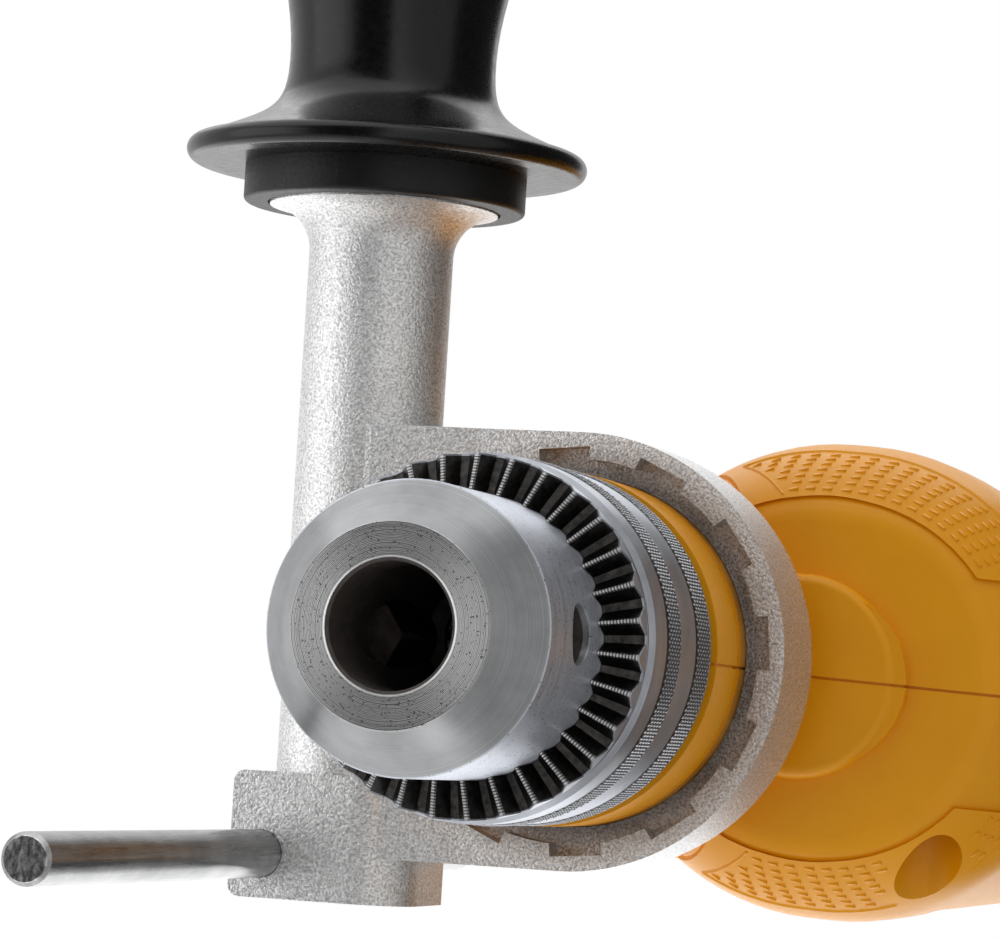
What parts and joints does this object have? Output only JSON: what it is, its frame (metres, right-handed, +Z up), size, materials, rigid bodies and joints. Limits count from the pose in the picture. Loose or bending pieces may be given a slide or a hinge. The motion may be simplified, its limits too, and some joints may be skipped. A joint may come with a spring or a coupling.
{
  "type": "hammer drill",
  "caption": "Corded hammer drill with pistol grip, keyed chuck with sliding jaws, clamping collar, swivelling side handle and depth rod, with geared motor and ratchets inside.",
  "frame": {"origin": "on the spindle axis at the front face of the 43 mm collar", "axes": "+X along the spindle towards the chuck's nose, +Z up away from the pistol grip, the housing halves part at y = 0"},
  "size_m": [0.2937, 0.2092, 0.2447],
  "materials": {
    "housing_yellow": "satin moulded",
    "soft_black": "matte",
    "control_black": "fine texture",
    "handle_black": "satin",
    "cast_alloy": "sand-textured casting",
    "zinc_steel": "zinc plated",
    "chuck_steel": "satin machined",
    "hard_steel": "ground",
    "spring_steel": "bright",
    "core_steel": "laminated",
    "copper": "enamelled",
    "bronze": "sintered",
    "carbon": "matte"
  },
  "bodies": {
    "housing": {"left_housing": "housing_yellow", "right_housing": "housing_yellow", "housing_screws": "zinc_steel", "grip_overmould": "soft_black", "gear_plate": "cast_alloy", "dust_seal": "soft_black", "fixed_ratchet": "hard_steel", "rear_bush": "bronze", "armature_front_bearing_outer_ring": "hard_steel", "armature_front_bearing_balls": "hard_steel", "armature_rear_bearing_outer_ring": "hard_steel", "armature_rear_bearing_balls": "hard_steel", "stator_core": "core_steel", "field_coils": "copper", "brush_holders": "bronze", "carbon_brushes": "carbon", "brush_springs": "spring_steel", "switch_body": "control_black", "cord_gland": "soft_black", "spindle_spring": "spring_steel", "trigger_spring": "spring_steel"},
    "bearing_carrier": {"spindle_bearing_outer_ring": "hard_steel", "spindle_bearing_balls": "hard_steel"},
    "spindle": {"spindle": "hard_steel", "spindle_gear": "hard_steel", "moving_ratchet": "hard_steel", "spindle_bearing_inner_ring": "hard_steel", "chuck_body": "chuck_steel", "chuck_screw": "zinc_steel"},
    "sleeve": {"chuck_sleeve": "chuck_steel", "chuck_nut": "hard_steel"},
    "jaw_1": {"chuck_jaw_1": "hard_steel"},
    "jaw_2": {"chuck_jaw_2": "hard_steel"},
    "jaw_3": {"chuck_jaw_3": "hard_steel"},
    "armature": {"armature_shaft": "hard_steel", "armature_core": "core_steel", "armature_windings": "copper", "commutator": "copper", "cooling_fan": "control_black", "armature_front_bearing_inner_ring": "hard_steel", "armature_rear_bearing_inner_ring": "hard_steel"},
    "side_handle": {"handle_clamp": "cast_alloy"},
    "handle_ring": {"handle_ring": "control_black"},
    "grip": {"handle_grip": "handle_black", "handle_stud": "zinc_steel"},
    "depth_rod": {"depth_rod": "zinc_steel"},
    "trigger": {"trigger": "control_black"},
    "lock_button": {"lock_button": "control_black"},
    "reverse_lever": {"reverse_lever": "control_black"},
    "mode_selector": {"mode_selector": "control_black"}
  },
  "joints": [
    {"name": "hammer_slide", "type": "slide", "parent": "housing", "child": "bearing_carrier", "axis": [1, 0, 0], "range_m": [-0.001, 0], "stiffness_N_per_m": 15000, "springref_m": 0.0015, "deforming": ["spindle_spring"]},
    {"name": "spindle_spin", "type": "hinge", "parent": "bearing_carrier", "child": "spindle", "pos_m": [0, 0, 0], "axis": [1, 0, 0], "continuous": true},
    {"name": "armature_spin", "type": "hinge", "parent": "housing", "child": "armature", "pos_m": [-0.1, 0, -0.0235], "axis": [1, 0, 0], "continuous": true},
    {"name": "sleeve_turn", "type": "hinge", "parent": "spindle", "child": "sleeve", "pos_m": [0.015, 0, 0], "axis": [-1, 0, 0], "range_deg": [0, 4798]},
    {"name": "jaw_1_slide", "type": "slide", "parent": "spindle", "child": "jaw_1", "axis": [0.9659, 0.0217, -0.2579], "range_m": [0, 0.02666]},
    {"name": "jaw_2_slide", "type": "slide", "parent": "spindle", "child": "jaw_2", "axis": [0.9659, 0.2125, 0.1477], "range_m": [0, 0.02666]},
    {"name": "jaw_3_slide", "type": "slide", "parent": "spindle", "child": "jaw_3", "axis": [0.9659, -0.2342, 0.1102], "range_m": [0, 0.02666]},
    {"name": "side_handle_swivel", "type": "hinge", "parent": "housing", "child": "side_handle", "pos_m": [-0.01855, 0, 0], "axis": [1, 0, 0], "range_deg": [-160, 90]},
    {"name": "handle_ring_lift", "type": "slide", "parent": "side_handle", "child": "handle_ring", "axis": [0, 0.9989, 0.0464], "range_m": [0, 0.0025]},
    {"name": "grip_turn", "type": "hinge", "parent": "handle_ring", "child": "grip", "pos_m": [-0.01855, -0.00141, 0.03027], "axis": [0, 0.9989, 0.0464], "range_deg": [0, 730]},
    {"name": "depth_rod_slide", "type": "slide", "parent": "side_handle", "child": "depth_rod", "axis": [1, 0, 0], "range_m": [-0.06, 0.058]},
    {"name": "trigger_pull", "type": "slide", "parent": "housing", "child": "trigger", "axis": [-1, 0, 0], "range_m": [0, 0.007], "stiffness_N_per_m": 1000, "springref_m": -0.004, "deforming": ["trigger_spring"]},
    {"name": "lock_button_press", "type": "slide", "parent": "housing", "child": "lock_button", "axis": [0, -1, 0], "range_m": [0, 0.002], "stiffness_N_per_m": 800, "springref_m": -0.002},
    {"name": "reverse_lever_swing", "type": "hinge", "parent": "housing", "child": "reverse_lever", "pos_m": [-0.17, 0, -0.0615], "axis": [0, 0, 1], "range_deg": [-10, 10]},
    {"name": "mode_selector_slide", "type": "slide", "parent": "housing", "child": "mode_selector", "axis": [0, 1, 0], "range_m": [0, 0.008]}
  ],
  "couplings": [
    {"joint": "spindle_spin", "follows": "armature_spin", "ratio": -0.1},
    {"joint": "jaw_1_slide", "follows": "sleeve_turn", "m_per_rad": 0.00031831},
    {"joint": "jaw_2_slide", "follows": "sleeve_turn", "m_per_rad": 0.00031831},
    {"joint": "jaw_3_slide", "follows": "sleeve_turn", "m_per_rad": 0.00031831},
    {"joint": "grip_turn", "follows": "handle_ring_lift", "rad_per_m": 5026.5}
  ]
}
